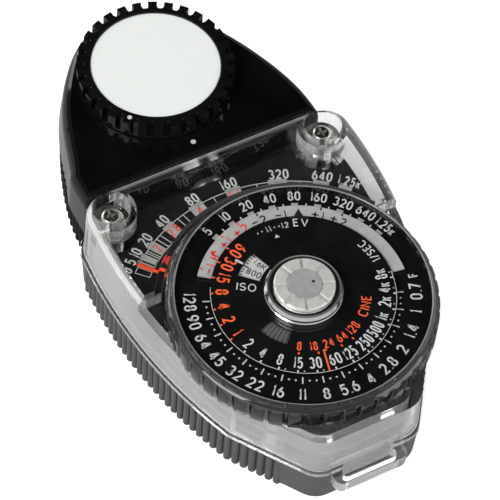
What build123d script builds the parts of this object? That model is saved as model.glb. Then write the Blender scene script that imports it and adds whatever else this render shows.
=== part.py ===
from build123d import *
from math import cos, hypot, radians, sin
import os

# Handheld incident light meter lying on its back.
# +Z comes up out of the dial, +Y runs along the meter towards the swivel head,
# +X is to the right seen from the front.  Z = 0 is the table.  Millimetres.

# ---------------------------------------------------------------- dimensions
BODY_TOP_Y = 14.4            # straight end that faces the swivel head
BODY_TOP_X = 28.6            # half width at that end
BOW_MID = (28.0, -16.0)      # a point half way down the bowed side
BOW_END = (21.8, -38.0)      # where the bow turns into the straight taper
END_X, END_Y = 10.8, -53.6   # corner of the flat lower end
TOP_CORNER_R, END_CORNER_R = 5.0, 5.0

CASE_TOP_Z = 9.6             # parting plane of the grey case
CASE_WALL, CASE_FLOOR = 1.8, 1.6
CASE_SKIN_INSET = 0.2        # smooth ends stand this far inside the flange
RIB_FLOOR_INSET = 0.85       # surface between the ribs
RIB_R, RIB_PITCH = 0.8, 1.78
RIB_TOP_Y, RIB_END_Y = 8.5, -46.5

FLANGE_Z0, FLANGE_Z1 = 9.7, 10.7
COVER_Z, DECK_Z = 24.0, 20.7         # high window face and low dial deck
COVER_WALL, COVER_PLATE = 2.2, 1.6
DECK_STEP_Y = -12.0                  # below this line the cover is low
SCREW_X, SCREW_Y, WELL_R = 23.0, 9.5, 3.8
WELL_FLOOR_Z = 19.4
BOSS_X, BOSS_Y, BOSS_R = 12.8, -41.0, 2.2
LUG_HALF, LUG_END_Y, LUG_Z0, LUG_Z1 = 7.6, -56.0, 5.9, 8.7
SLOT_LEN, SLOT_W, SLOT_Y = 11.4, 1.9, -54.0

DIAL = (0.0, -25.2)          # axis of dials, button and meter movement
DIAL_R, KNURL_R, KNURL_N = 24.5, 25.8, 46
DIAL_Z, FACE_Z, LIP_IN = 27.2, 25.6, 24.1   # rim, printed face and inner wall of the rim
RECESS_R = 26.5
HUB_R, HUB_FLANGE_R = 4.0, 6.2
ZERO_SITE = (0.0, -43.5)     # zero adjuster in the back
ZERO_THROW = 1.4

SCALE_TOP_Z, SCALE_T = 15.3, 0.8
MOVEMENT_HOLE_R = 13.5
NEEDLE_Z, NEEDLE_LEN = 15.95, 33.4
NEEDLE_ZERO = 131.2          # degrees from +X

HEAD_Y0, HEAD_TOP_Y, HEAD_HALF = 14.9, 56.0, 26.0
HEAD_SIDE = [(25.2, 24.0), (21.7, 35.1), (15.3, 47.3), (8.0, 54.3)]
HEAD_Z0, HEAD_PART_Z, HEAD_DECK_Z = 0.8, 9.5, 20.2
TIP_LEAN = 0.058             # the deck is this much shorter than the parting plane
HEAD_WALL = 1.7
HEAD_SCREWS = [(-19.5, 21.0), (19.5, 21.0)]
SWIVEL_Z, NECK_R, NECK_BORE, BUSH_R = 10.4, 3.2, 2.0, 4.0
FIT = 0.05                   # radial running clearance

RING = (0.0, 36.6)           # axis of the diffuser
RING_R, RING_ROOT, RING_TEETH, RING_TOP_Z = 15.7, 14.5, 30, 24.1
DISC_R, DISC_Z = 12.95, 23.85


# ------------------------------------------------------------------- helpers
def save(name, shape):
    export_step(shape, f"parts/{name}.step")


def tube(centre, r_out, r_in, z0, z1):
    body = Pos(centre[0], centre[1], (z0 + z1) / 2) * Cylinder(r_out, z1 - z0)
    if r_in > 0:
        body -= Pos(centre[0], centre[1], (z0 + z1) / 2) * Cylinder(r_in, z1 - z0 + 1)
    return body


def rod(centre, r, z0, z1):
    return tube(centre, r, 0, z0, z1)


def box(x0, x1, y0, y1, z0, z1):
    middle = ((x0 + x1) / 2, (y0 + y1) / 2, (z0 + z1) / 2)
    return Pos(*middle) * Box(x1 - x0, y1 - y0, z1 - z0)


def y_rod(r, y0, y1, x=0.0, z=SWIVEL_Z):
    return Pos(x, (y0 + y1) / 2, z) * Rot(90, 0, 0) * Cylinder(r, y1 - y0)


def turned(centre, profile):
    """A body turned about the vertical axis at centre from (radius, height) points."""
    face = make_face(Polyline([(r, 0, z) for r, z in profile], close=True))
    return Pos(centre[0], centre[1], 0) * revolve(face, Axis.Z)


def polar(centre, r, angle):
    return (centre[0] + r * cos(radians(angle)), centre[1] + r * sin(radians(angle)))


def body_outline(inset, z, top_inset=0.0):
    """Plan of the meter body: bowed sides tapering to a flat lower end."""
    a = (BODY_TOP_X - inset, BODY_TOP_Y - top_inset)
    m = (BOW_MID[0] - inset, BOW_MID[1])
    b = (BOW_END[0] - inset, BOW_END[1] + inset / 3)
    c = (END_X - inset / 2, END_Y + inset)

    def flip(p):
        return (-p[0], p[1])

    edges = [
        ThreePointArc(a, m, b),
        Line(b, c),
        Line(c, flip(c)),
        Line(flip(c), flip(b)),
        ThreePointArc(flip(b), flip(m), flip(a)),
        Line(flip(a), a),
    ]
    face = make_face(edges)
    top = [v for v in face.vertices() if abs(v.Y - a[1]) < 1e-3]
    face = fillet(top, TOP_CORNER_R)
    end = [v for v in face.vertices() if hypot(abs(v.X) - c[0], v.Y - c[1]) < 1e-3]
    face = fillet(end, END_CORNER_R)
    return Pos(0, 0, z) * face


def body_block(sections):
    """Ruled solid through (inset, height) sections of the body outline."""
    solid = None
    for (i0, z0), (i1, z1) in zip(sections, sections[1:]):
        piece = loft([body_outline(i0, z0, i0), body_outline(i1, z1, i1)], ruled=True)
        solid = piece if solid is None else solid + piece
    return solid


def head_outline(inset, z):
    """Plan of the swivel head: straight lower edge, sides closing to a tip that leans in."""
    rise = max(0.0, z - HEAD_PART_Z) / (HEAD_DECK_Z - HEAD_PART_Z)
    reach = 1 - TIP_LEAN * rise
    right = [(HEAD_HALF - inset, HEAD_Y0 + inset)]
    right += [(x - inset * x / HEAD_HALF, y - inset * 0.6) for x, y in HEAD_SIDE]
    top = (0.0, HEAD_TOP_Y - inset)
    right = [(x, HEAD_Y0 + inset + (y - HEAD_Y0 - inset) * reach) for x, y in right]
    top = (0.0, HEAD_Y0 + (top[1] - HEAD_Y0) * reach)
    left = [(-x, y) for x, y in reversed(right)]
    curve = Spline(right + [top] + left, tangents=[(0, 1), (0, -1)])
    return Pos(0, 0, z) * make_face([curve, Line(left[-1], right[0])])


def head_block(sections):
    solid = None
    for (i0, z0), (i1, z1) in zip(sections, sections[1:]):
        piece = loft([head_outline(i0, z0), head_outline(i1, z1)], ruled=True)
        solid = piece if solid is None else solid + piece
    return solid


def rib_sites(path_face, y_low, y_high):
    """Even points along the right and left sides of a plan outline."""
    sites = []
    edges = [e for e in path_face.edges() if e.center().X > 5 and e.length > 10]
    edges.sort(key=lambda e: -e.center().Y)
    carry = 0.0
    for edge in edges:
        start, stop = edge.position_at(0), edge.position_at(1)
        down = start.Y > stop.Y
        s = carry
        while s < edge.length:
            t = s / edge.length
            p = edge.position_at(t if down else 1 - t)
            if y_low < p.Y < y_high:
                sites.append((p.X, p.Y))
            s += RIB_PITCH
        carry = s - edge.length
    return sites + [(-x, y) for x, y in sites]


def ribs(sites, z0, z1):
    return [rod(site, RIB_R, z0, z1) for site in sites]


# ------------------------------------------------------------------ rear case
def make_rear_case():
    skin = body_block([(2.1, 0), (1.0, 0.4), (0.55, 1.2), (CASE_SKIN_INSET, CASE_TOP_Z)])
    core = body_block([(2.3, 0), (1.35, 0.5), (RIB_FLOOR_INSET, 1.3),
                       (RIB_FLOOR_INSET, CASE_TOP_Z)])
    ends = box(-40, 40, RIB_TOP_Y, 30, -1, 20) + box(-40, 40, -60, RIB_END_Y, -1, 20)
    case = core + (skin & ends)
    sites = rib_sites(body_outline(CASE_SKIN_INSET + RIB_R, 0), RIB_END_Y, RIB_TOP_Y)
    case = case.fuse(*ribs(sites, 0.7, CASE_TOP_Z))
    inner = CASE_SKIN_INSET + CASE_WALL + 0.5
    case -= body_block([(inner, CASE_FLOOR), (inner, CASE_TOP_Z + 1)])
    # posts for the cover screws, the lower case screws and the meter movement
    for side in (-1, 1):
        post = rod((side * SCREW_X, SCREW_Y), 2.6, CASE_FLOOR - 0.4, CASE_TOP_Z)
        case += post - rod((side * SCREW_X, SCREW_Y), 1.02, 3, CASE_TOP_Z + 1)
        case -= rod((side * BOSS_X, BOSS_Y), 1.0, -1, CASE_FLOOR + 1)
        case -= rod((side * BOSS_X, BOSS_Y), 2.1, -1, 0.9)
    # seat of the swivel bush, hole of the zero adjuster and notch for the strap lug
    case -= box(-LUG_HALF - 0.1, LUG_HALF + 0.1, -60, END_Y + 3.3, LUG_Z0 - 0.1, 20)
    case -= y_rod(BUSH_R + 0.05, 9.0, 20)
    case -= rod(ZERO_SITE, 2.46, -1, CASE_FLOOR + 1)
    return case



# ---------------------------------------------------------------- clear cover
def make_front_cover():
    shell = body_block([(0.0, FLANGE_Z0), (0.0, FLANGE_Z1)])
    shell += body_block([(0.5, FLANGE_Z1 - 0.01), (0.92, COVER_Z - 1.5), (1.04, COVER_Z - 1.0),
                         (1.3, COVER_Z - 0.5), (1.68, COVER_Z - 0.15), (2.25, COVER_Z)])
    # low deck under the dial, with a round recess let into the high face
    low = box(-40, 40, -60, DECK_STEP_Y, DECK_Z, 40)
    shell -= low + tube(DIAL, RECESS_R, 0, DECK_Z, 40)
    # one cavity up to the deck, and a higher crescent behind the window
    inset = 0.7 + COVER_WALL
    deep = DECK_Z - COVER_PLATE
    shell -= body_block([(inset, FLANGE_Z0 - 1), (inset, deep)])
    window = body_block([(inset, deep - 0.1), (inset, COVER_Z - COVER_PLATE)])
    window -= tube(DIAL, RECESS_R + 1.4, 0, deep - 1, COVER_Z)
    window -= box(-40, 40, -60, DECK_STEP_Y + 1.4, 0, 40)
    shell -= window
    # screw wells in the top corners: scalloped walls, floor and leg down to the case
    for side in (-1, 1):
        site = (side * SCREW_X, SCREW_Y)
        inside = body_block([(inset - 0.2, FLANGE_Z0 - 1), (inset - 0.2, COVER_Z - 1)])
        shell += tube(site, WELL_R + 1.2, 0, WELL_FLOOR_Z - 1.4, COVER_Z - 0.4) & inside
        shell += rod(site, 2.6, FLANGE_Z0, WELL_FLOOR_Z)
        shell -= rod(site, WELL_R, WELL_FLOOR_Z, COVER_Z + 1)
        shell -= rod(site, 1.1, 0, COVER_Z)
        foot = (side * BOSS_X, BOSS_Y)
        shell += rod(foot, BOSS_R, CASE_FLOOR + 0.1, DECK_Z - 1)
        shell -= rod(foot, 0.85, 0, 14)
    # strap lug at the lower end
    neck = box(-LUG_HALF, LUG_HALF, LUG_END_Y, END_Y + 3.2, LUG_Z0, LUG_Z1)
    neck = fillet(neck.edges().filter_by(Axis.Z).group_by(Axis.Y)[0], 1.6)
    shell += neck + box(-LUG_HALF, LUG_HALF, END_Y + 0.4, END_Y + 3.2, LUG_Z1 - 0.5, FLANGE_Z1)
    slot = SlotCenterToCenter(SLOT_LEN - SLOT_W, SLOT_W)
    shell -= extrude(Pos(0, SLOT_Y, LUG_Z0 - 1) * slot, 10)
    # swivel bush seat and the post bore of the dial hub
    shell -= y_rod(BUSH_R + 0.05, 9.0, 20)
    shell -= rod(DIAL, HUB_R, DECK_Z - 5, DECK_Z + 5)
    return shell


# ------------------------------------------------------------------- screws
def screw(site, z_head, head_r, head_h, shank_r, length):
    """A pan-head cross-recess screw pointing down from z_head (top of head)."""
    head = rod(site, head_r, z_head - head_h, z_head)
    head = fillet(head.edges().sort_by(Axis.Z)[-1], head_h * 0.45)
    body = head + rod(site, shank_r, z_head - head_h - length, z_head - head_h + 0.1)
    for quarter in (0, 90):
        cut = Pos(site[0], site[1], z_head) * Rot(0, 0, quarter)
        body -= cut * Box(head_r * 1.15, head_r * 0.28, head_h * 0.9)
    return body


def flip_z(shape, z):
    """Turn a shape over about the X axis through height z."""
    return Pos(0, 0, z) * Rot(180, 0, 0) * Pos(0, 0, -z) * shape


def screw_up(site, z_head, head_r, head_h, shank_r, length):
    """The same screw driven upwards, with its head face at z_head."""
    return flip_z(screw((site[0], -site[1]), z_head, head_r, head_h, shank_r, length), z_head)


def group(solids):
    return Compound(children=list(solids))


# ----------------------------------------------------------------- scale plate
def make_scale_plate():
    plate = body_block([(3.05, SCALE_TOP_Z - SCALE_T), (3.05, SCALE_TOP_Z)])
    plate -= tube(DIAL, MOVEMENT_HOLE_R, 0, 0, 40)
    for side in (-1, 1):
        plate -= rod((side * SCREW_X, SCREW_Y), 5.3, 0, 40)
        plate -= rod((side * BOSS_X, BOSS_Y), BOSS_R + 0.15, 0, 40)
        plate -= box(side * 23.6 - 6, side * 23.6 + 6, SCREW_Y, 20, 0, 40)
    return plate


# -------------------------------------------------------------- meter movement
COIL_HALF, COIL_T, COIL_Z0, COIL_Z1 = 6.1, 0.8, 4.3, 12.0
CORE_R, YOKE_IN, YOKE_OUT = 4.7, 6.8, 9.0
COIL_ANGLE = NEEDLE_ZERO
ARM_ANGLE = COIL_ANGLE + 46.0     # middle of the sector the coil never enters


def radial_bar(angle, r0, r1, width, z0, z1):
    bar = box(r0, r1, -width / 2, width / 2, z0, z1)
    return Pos(DIAL[0], DIAL[1], 0) * Rot(0, 0, angle) * bar


def make_movement_base():
    base = rod(DIAL, 10.5, CASE_FLOOR + 0.05, CASE_FLOOR + 1.2)
    base -= rod(DIAL, 1.35, 0, 20)
    for turn in (0, 180):
        base += radial_bar(ARM_ANGLE + turn, 9.3, 11.8, 5.0, CASE_FLOOR + 0.05, 13.2)
    return base


def make_movement_bridge():
    bridge = radial_bar(ARM_ANGLE, -11.8, 11.8, 5.0, 13.25, 14.2)
    bridge -= rod(DIAL, 1.35, 0, 20)
    for turn in (0, 180):
        bridge -= rod(polar(DIAL, 10.6, ARM_ANGLE + turn), 0.7, 0, 20)
    return bridge


def make_yoke():
    ring = tube(DIAL, YOKE_OUT, YOKE_IN, 4.6, 11.4)
    for turn in (0, 180):
        ring += radial_bar(ARM_ANGLE + turn, CORE_R + 0.01, YOKE_IN + 0.5, 2.6, 6.4, 9.6)
    return ring


def make_coil():
    outer = radial_bar(COIL_ANGLE, -COIL_HALF, COIL_HALF, 3.0, COIL_Z0, COIL_Z1)
    inner = radial_bar(COIL_ANGLE, -COIL_HALF + COIL_T, COIL_HALF - COIL_T, 4.0,
                       COIL_Z0 + COIL_T, COIL_Z1 - COIL_T)
    return outer - inner


def make_staff():
    """Upper and lower pivots cemented to the coil."""
    upper = rod(DIAL, 0.55, COIL_Z1, 12.85) + rod(DIAL, 0.25, 12.8, 13.4)
    lower = rod(DIAL, 0.55, 3.5, COIL_Z0) + rod(DIAL, 0.25, 2.9, 3.6)
    return group([upper, lower])


def make_jewel_screws():
    top = rod(DIAL, 1.3, 13.0, 14.6) - rod(DIAL, 0.3, 12.9, 13.6)
    low = rod(DIAL, 1.3, 1.7, 3.3) - rod(DIAL, 0.3, 2.7, 3.4)
    return group([top, low])


def make_hairspring():
    """Flat spiral between the lower pivot and the stud of the zero arm."""
    points = []
    turns, r0, r1, steps = 3.75, 0.75, 2.9, 45
    for k in range(steps + 1):
        u = k / steps
        points.append(polar((0, 0), r0 + (r1 - r0) * u, 360 * turns * u))
    path = Spline(points)
    start = Plane(origin=path.position_at(0), z_dir=path.tangent_at(0))
    wire = sweep(start * Rectangle(0.14, 0.3), path=path)
    return Pos(DIAL[0], DIAL[1], 3.95) * wire


NEEDLE_LOW_Z, RISER_R = 12.5, 12.5
FAN_R = (7.2, 8.8)           # sector the brake pad rests on


def make_needle():
    """Needle on the upper pivot: low arm, riser, long pointer and a braked fan tail."""
    half = 0.12
    low, high = NEEDLE_LOW_Z, NEEDLE_Z
    needle = tube(DIAL, 1.3, 0.55, low - half, low + half)
    needle += radial_bar(NEEDLE_ZERO, 1.0, RISER_R + half, 0.8, low - half, low + half)
    needle += radial_bar(NEEDLE_ZERO, RISER_R - half, RISER_R + half, 0.8, low - half, high + half)
    needle += radial_bar(NEEDLE_ZERO, RISER_R - half, NEEDLE_LEN, 0.62, high - half, high + half)
    needle += radial_bar(NEEDLE_ZERO + 180, 1.0, FAN_R[0] + 0.5, 0.9, low - half, low + half)
    reach = NEEDLE_ZERO + 180
    fan = sector(FAN_R[0], FAN_R[1], reach - 50, reach + 50, low - half, low + half)
    return needle + fan


# --------------------------------------------------------- dials and the button
CAP_R, CAP_Z0, CAP_Z1 = 5.8, 28.3, 30.2
COLLAR_R, COLLAR_Z0 = 7.4, 26.9
NUB_Y, NUB_R = 0.95, 0.5     # brake contact under the far side of the plunger
PLUNGER_R, PLUNGER_Z0 = 1.6, 18.3
SPRING_Z0, SPRING_Z1 = 23.4, 28.2
PRESS = 0.8
BRAKE_Y, BRAKE_Z = DIAL[1] - 4.5, 17.6
BRAKE_PAD_Y = DIAL[1] - 8.0


def make_dial_ring():
    profile = [(9.0, 24.0), (9.0, 25.2), (LIP_IN, 25.2), (LIP_IN, DIAL_Z - 0.12),
               (LIP_IN + 0.12, DIAL_Z), (DIAL_R - 0.1, DIAL_Z), (DIAL_R, DIAL_Z - 0.12),
               (25.0, 25.9), (25.4, 25.6), (KNURL_R, 25.1), (KNURL_R, 21.2),
               (24.2, 21.2), (24.2, 24.0)]
    ring = turned(DIAL, profile)
    notches = []
    for k in range(KNURL_N):
        site = polar(DIAL, KNURL_R + 0.15, 360 * k / KNURL_N)
        notches.append(rod(site, 0.62, 20, 25.45))
    return ring.cut(*notches)


def make_aperture_scale():
    """Thin printed face let into the dial ring, below its rim."""
    return tube(DIAL, LIP_IN - 0.03, 9.0, 25.22, FACE_Z)


def sector_face(r_in, r_out, a0, a1):
    """Flat ring sector about the dial axis, angles in degrees from +X."""
    mid = (a0 + a1) / 2
    out = [polar(DIAL, r_out, a) for a in (a0, mid, a1)]
    ins = [polar(DIAL, r_in, a) for a in (a1, mid, a0)]
    return make_face([ThreePointArc(*out), Line(out[2], ins[0]),
                      ThreePointArc(*ins), Line(ins[2], out[0])])


def sector(r_in, r_out, a0, a1, z0, z1):
    return extrude(Pos(0, 0, z0) * sector_face(r_in, r_out, a0, a1), z1 - z0)


ARC_A0, ARC_A1 = -8.8, 142.2     # ends of the index sector, degrees from +X
ARC_OUT, DISC_EDGE = 20.2, 17.5
FILM_Z0, FILM_Z1 = 26.05, 26.4
PAD_ANGLE, PAD_HALF, PAD_R = -147.7, 14.4, (8.6, 11.7)
FILM_SWING, RIDGE_STEP = 45.0, 4.5
SPEED_R, SPEED_SPAN = (8.6, 12.8), (110.0, 136.0)
VALUE_R, VALUE_SPAN = (15.0, 16.8), (71.0, 98.0)
SHUT_Z0, SHUT_Z1 = 26.45, 26.8


def make_film_disc():
    """Lower inner disc: index sector, film speeds and a grooved thumb band."""
    disc = tube(DIAL, DISC_EDGE - 0.4, HUB_R + FIT, FILM_Z0, FILM_Z1)
    disc += sector(DISC_EDGE - 1.5, ARC_OUT, ARC_A0, ARC_A1, FILM_Z0, FILM_Z1)
    first = PAD_ANGLE - FILM_SWING
    for k in range(int(2 * FILM_SWING / RIDGE_STEP) + 1):
        disc -= radial_bar(first + RIDGE_STEP * k, PAD_R[0] - 0.3, PAD_R[1] + 0.3, 0.4,
                           FILM_Z1 - 0.2, FILM_Z1 + 1)
    return disc


def make_shutter_disc():
    """Upper inner disc with windows for the film speed, the EV scale and the pad."""
    disc = tube(DIAL, DISC_EDGE, HUB_R + FIT, SHUT_Z0, SHUT_Z1)
    windows = [(PAD_R, (PAD_ANGLE - PAD_HALF, PAD_ANGLE + PAD_HALF)),
               (SPEED_R, SPEED_SPAN), (VALUE_R, VALUE_SPAN)]
    for radii, span in windows:
        disc -= sector(*radii, *span, SHUT_Z0 - 1, SHUT_Z1 + 1)
    return disc


def make_hub():
    """Flanged brass post screwed into the cover; the dials turn on it."""
    profile = [(PLUNGER_R + FIT, 19.15), (HUB_R - 0.02, 19.15), (HUB_R - 0.02, DECK_Z + 0.02),
               (HUB_FLANGE_R, DECK_Z + 0.02), (HUB_FLANGE_R, DECK_Z + 0.9),
               (HUB_R, DECK_Z + 0.9), (HUB_R, 28.6), (3.1, 28.6), (3.1, SPRING_Z0 - 0.1),
               (PLUNGER_R + FIT, SPRING_Z0 - 0.1)]
    return turned(DIAL, profile)


def make_dial_bush():
    """Turning bush that carries the outer dial on the hub."""
    return tube(DIAL, 8.98, HUB_R + FIT, DECK_Z + 1.0, 25.2)


def make_collar():
    """Chrome collar pressed on the hub, with a lip round the button."""
    profile = [(HUB_R, COLLAR_Z0), (COLLAR_R, COLLAR_Z0), (COLLAR_R, 27.5), (7.15, 27.65),
               (7.15, 27.85), (COLLAR_R, 28.0), (COLLAR_R, 28.6), (7.0, 29.2), (6.6, 29.35),
               (CAP_R + 0.08, 29.35), (CAP_R + 0.08, 28.2 + 0.12), (HUB_R, 28.2 + 0.12)]
    return turned(DIAL, profile)


def make_cap():
    cap = tube(DIAL, CAP_R, 0, 29.45, CAP_Z1)
    cap += tube(DIAL, CAP_R, 4.4, 29.25, 29.5)
    cap = chamfer(cap.edges().filter_by(GeomType.CIRCLE).sort_by(Axis.Z)[-1], 0.25)
    for k in range(8):
        groove = radial_bar(45 * k + 22.5, 3.3, CAP_R + 1, 0.8, CAP_Z1 - 0.3, CAP_Z1 + 1)
        cap -= groove
    cap -= tube(DIAL, 3.45, 3.25, CAP_Z1 - 0.12, CAP_Z1 + 1)
    cap -= rod(DIAL, 1.05, 29, 29.9)
    return cap


def make_plunger():
    stem = rod(DIAL, PLUNGER_R, PLUNGER_Z0 + 0.2, 28.3)
    stem += rod(DIAL, 2.9, 28.3, 29.43) + rod(DIAL, 1.0, 29.4, 29.85)
    return stem


def make_return_spring():
    coils, r = 5.0, 2.45
    height = SPRING_Z1 - SPRING_Z0 - 0.4
    path = Helix(pitch=height / coils, height=height, radius=r)
    start = Plane(origin=path.position_at(0), z_dir=path.tangent_at(0))
    wire = sweep(start * Circle(0.2), path=path, is_frenet=True)
    return Pos(DIAL[0], DIAL[1], SPRING_Z0 + 0.2) * wire


def make_brake():
    """Rocker: its near end lies under the plunger, its far end holds the needle tail."""
    arm = box(-1.1, 1.1, BRAKE_PAD_Y - 0.8, DIAL[1] + 1.6, BRAKE_Z - 0.3, BRAKE_Z + 0.3)
    arm += Pos(0, BRAKE_Y, BRAKE_Z) * Rot(0, 90, 0) * Cylinder(0.9, 4.4)
    arm -= Pos(0, BRAKE_Y, BRAKE_Z) * Rot(0, 90, 0) * Cylinder(0.45, 10)
    arm += box(-1.1, 1.1, BRAKE_PAD_Y - 0.8, BRAKE_PAD_Y + 0.2, NEEDLE_LOW_Z + 0.2, BRAKE_Z)
    arm += box(-1.6, 1.6, BRAKE_PAD_Y - 0.8, BRAKE_PAD_Y + 0.6, NEEDLE_LOW_Z + 0.2,
               NEEDLE_LOW_Z + 0.8)
    arm += rod((0, DIAL[1] + NUB_Y), NUB_R, BRAKE_Z - 0.3, PLUNGER_Z0 + 0.15)
    return arm


def make_brake_pin():
    """Axle of the rocker with its two hanging cheeks under the cover deck."""
    pin = Pos(0, BRAKE_Y, BRAKE_Z) * Rot(0, 90, 0) * Cylinder(0.4, 8.0)
    for side in (-1, 1):
        pin += box(side * 3.1 - 0.6, side * 3.1 + 0.6, BRAKE_Y - 1.2, BRAKE_Y + 1.2,
                   BRAKE_Z - 0.9, DECK_Z - COVER_PLATE - 0.02)
    return pin


# ------------------------------------------------------------------ swivel head
def make_head_front():
    shell = head_block([(0.0, HEAD_PART_Z + 0.05), (0.2, HEAD_DECK_Z - 2.4),
                        (0.38, HEAD_DECK_Z - 1.5), (0.7, HEAD_DECK_Z - 0.8),
                        (1.15, HEAD_DECK_Z - 0.3), (1.9, HEAD_DECK_Z)])
    shell -= head_block([(HEAD_WALL + 0.3, HEAD_PART_Z - 1), (HEAD_WALL + 0.5, HEAD_DECK_Z - 1.8)])
    shell -= tube(RING, 14.0, 0, 10, 30)
    shell -= y_rod(NECK_R + 0.02, 10, 20)
    for site in HEAD_SCREWS:
        shell += rod(site, 2.2, HEAD_PART_Z + 0.05, HEAD_DECK_Z - 1.0)
        shell -= rod(site, 0.85, 0, 17)
    return shell


def make_head_rear():
    inset = 0.55
    shell = head_block([(2.4, HEAD_Z0), (1.1, HEAD_Z0 + 0.6), (inset + 0.1, HEAD_Z0 + 1.7),
                        (inset, HEAD_PART_Z)])
    sites = []
    for x, y in rib_sites_head(0.85):
        sites.append((x, y))
    shell = shell.fuse(*[rod(site, RIB_R, HEAD_Z0 + 1.0, HEAD_PART_Z) for site in sites])
    shell -= head_block([(inset + HEAD_WALL, HEAD_Z0 + 1.6), (inset + HEAD_WALL, HEAD_PART_Z + 1)])
    shell -= y_rod(NECK_R + 0.02, 10, 20)
    for site in HEAD_SCREWS:
        shell += rod(site, 2.2, HEAD_Z0 + 1.0, HEAD_PART_Z)
        shell -= rod(site, 1.15, 0, 12)
        shell -= rod(site, 2.1, 0, HEAD_Z0 + 1.6)
    return shell


def rib_sites_head(inset):
    """Rib positions on both straight flanks of the head."""
    edge = max(head_outline(inset, 0).edges(), key=lambda e: e.length)
    sites, s = [], 0.0
    while s < edge.length:
        p = edge.position_at(s / edge.length)
        if HEAD_Y0 + 1.6 < p.Y < 40.0:
            sites.append((p.X, p.Y))
        s += RIB_PITCH
    right = [p for p in sites if p[0] > 0]
    return right + [(-x, y) for x, y in right]


def make_neck():
    neck = y_rod(NECK_R, 8.6, 19.0) + y_rod(5.4, HEAD_Y0 + 2.35, HEAD_Y0 + 3.9)
    neck -= y_rod(NECK_BORE, 8, 20)
    ring = y_rod(NECK_R + 1, 9.5, 10.1) - y_rod(NECK_R - 0.4, 9, 10.6)
    return neck - ring


def make_clip():
    clip = y_rod(BUSH_R, 9.55, 10.05) - y_rod(NECK_R - 0.35, 9, 11)
    return clip - box(-1.0, 1.0, 8, 12, SWIVEL_Z, SWIVEL_Z + 10)


def make_bush():
    return y_rod(BUSH_R, 10.3, BODY_TOP_Y - 0.05) - y_rod(NECK_R + FIT, 8, 20)


def make_diffuser_mount():
    mount = tube(RING, 13.95, 12.66, 17.1, HEAD_DECK_Z + 0.1)
    mount += tube(RING, 15.2, 12.66, 17.1, HEAD_DECK_Z - 1.85)
    mount -= tube(RING, 13.4, 12.0, 17.8, 18.9)
    for k in range(3):
        slot = Pos(RING[0], RING[1], 0) * Rot(0, 0, 120 * k + 45)
        mount -= slot * box(12.0, 13.4, -2.2, 2.2, 18.5, 30)
    return mount


def make_cell_tray():
    tray = tube(RING, 14.2, 0, 14.2, 17.05) - rod(RING, 12.3, 15.3, 20)
    for side in (-1, 1):
        tray -= rod((RING[0] + side * 5, RING[1] - 4), 0.7, 10, 20)
    return tray


def make_photocell():
    return rod(RING, 12.2, 15.35, 16.1)


def make_contacts():
    blades = []
    for side in (-1, 1):
        x = RING[0] + side * 5
        blade = box(x - 1.2, x + 1.2, RING[1] - 12, RING[1] - 2.6, 13.7, 14.1)
        blades.append(blade + rod((x, RING[1] - 4), 0.6, 13.8, 15.3))
    return group(blades)


def lead(points, r=0.45):
    path = Spline(points)
    plane = Plane(origin=path.position_at(0), z_dir=path.tangent_at(0))
    return sweep(plane * Circle(r), path=path)


def make_head_leads():
    leads = []
    for side in (-1, 1):
        leads.append(lead([(side * 5, 26.5, 13.1), (side * 3.5, 23.0, 12.3),
                           (side * 1.2, 19.0, SWIVEL_Z), (side * 0.8, 14.2, SWIVEL_Z)]))
    return group(leads)


def make_case_leads():
    leads = []
    for side in (-1, 1):
        leads.append(lead([(side * 0.8, 13.4, SWIVEL_Z), (side * 0.9, 7.0, SWIVEL_Z - 0.4),
                           (side * 2.6, 0.0, 6.0), (side * 5.0, -8.0, 3.4),
                           (side * 5.5, -13.5, 2.4)]))
    return group(leads)


def make_diffuser_ring():
    ring = tube(RING, RING_R, 13.0, HEAD_DECK_Z + 0.25, RING_TOP_Z)
    ring += tube(RING, 14.5, 11.9, 22.0, 23.1)
    ring += tube(RING, 13.2, 11.4, HEAD_DECK_Z + 0.25, 22.2)
    ring += tube(RING, 12.6, 11.4, 17.3, HEAD_DECK_Z + 0.5)
    for k in range(3):
        lug = Pos(RING[0], RING[1], 0) * Rot(0, 0, 120 * k + 80)
        ring += lug * box(12.3, 13.2, -1.6, 1.6, 17.95, 18.75)
    cuts = []
    for k in range(RING_TEETH):
        site = Pos(RING[0], RING[1], 0) * Rot(0, 0, 360 * k / RING_TEETH)
        cuts.append(site * box(RING_ROOT, RING_R + 1, -0.72, 0.72, 21.0, 30))
        cuts.append(site * rod((RING_ROOT, 0), 0.6, 23.55, 30))
    return ring.cut(*cuts)


def make_diffuser_disc():
    return chamfer(rod(RING, DISC_R, 23.12, DISC_Z).edges().sort_by(Axis.Z)[-1], 0.12)


def make_zero_screw():
    """Slotted zero adjuster in the back of the case, with its eccentric pin."""
    turn = rod(ZERO_SITE, 2.4, 0.25, CASE_FLOOR + 0.1)
    turn += rod(ZERO_SITE, 3.0, CASE_FLOOR + 0.05, CASE_FLOOR + 0.7)
    turn += rod((ZERO_SITE[0], ZERO_SITE[1] + ZERO_THROW), 0.4, 2.0, 3.6)
    return turn - Pos(ZERO_SITE[0], ZERO_SITE[1], 0.25) * Box(4.4, 0.7, 1.1)


def make_zero_arm():
    """Forked arm round the lower jewel; its stud holds the end of the hairspring."""
    z0, z1 = 2.85, 3.35
    pin_y = ZERO_SITE[1] + ZERO_THROW
    arm = tube(DIAL, 2.6, 1.4, z0, z1)
    arm += box(-0.9, 0.9, pin_y + 1.0, DIAL[1] - 2.2, z0, z1)
    fork = box(-1.4, 1.4, pin_y - 1.0, pin_y + 1.4, z0, z1)
    arm += fork - box(-0.45, 0.45, pin_y - 2.0, pin_y + 0.7, 0, 10)
    return arm + rod((0, DIAL[1] - 3.3), 0.35, z0, 4.1)


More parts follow.
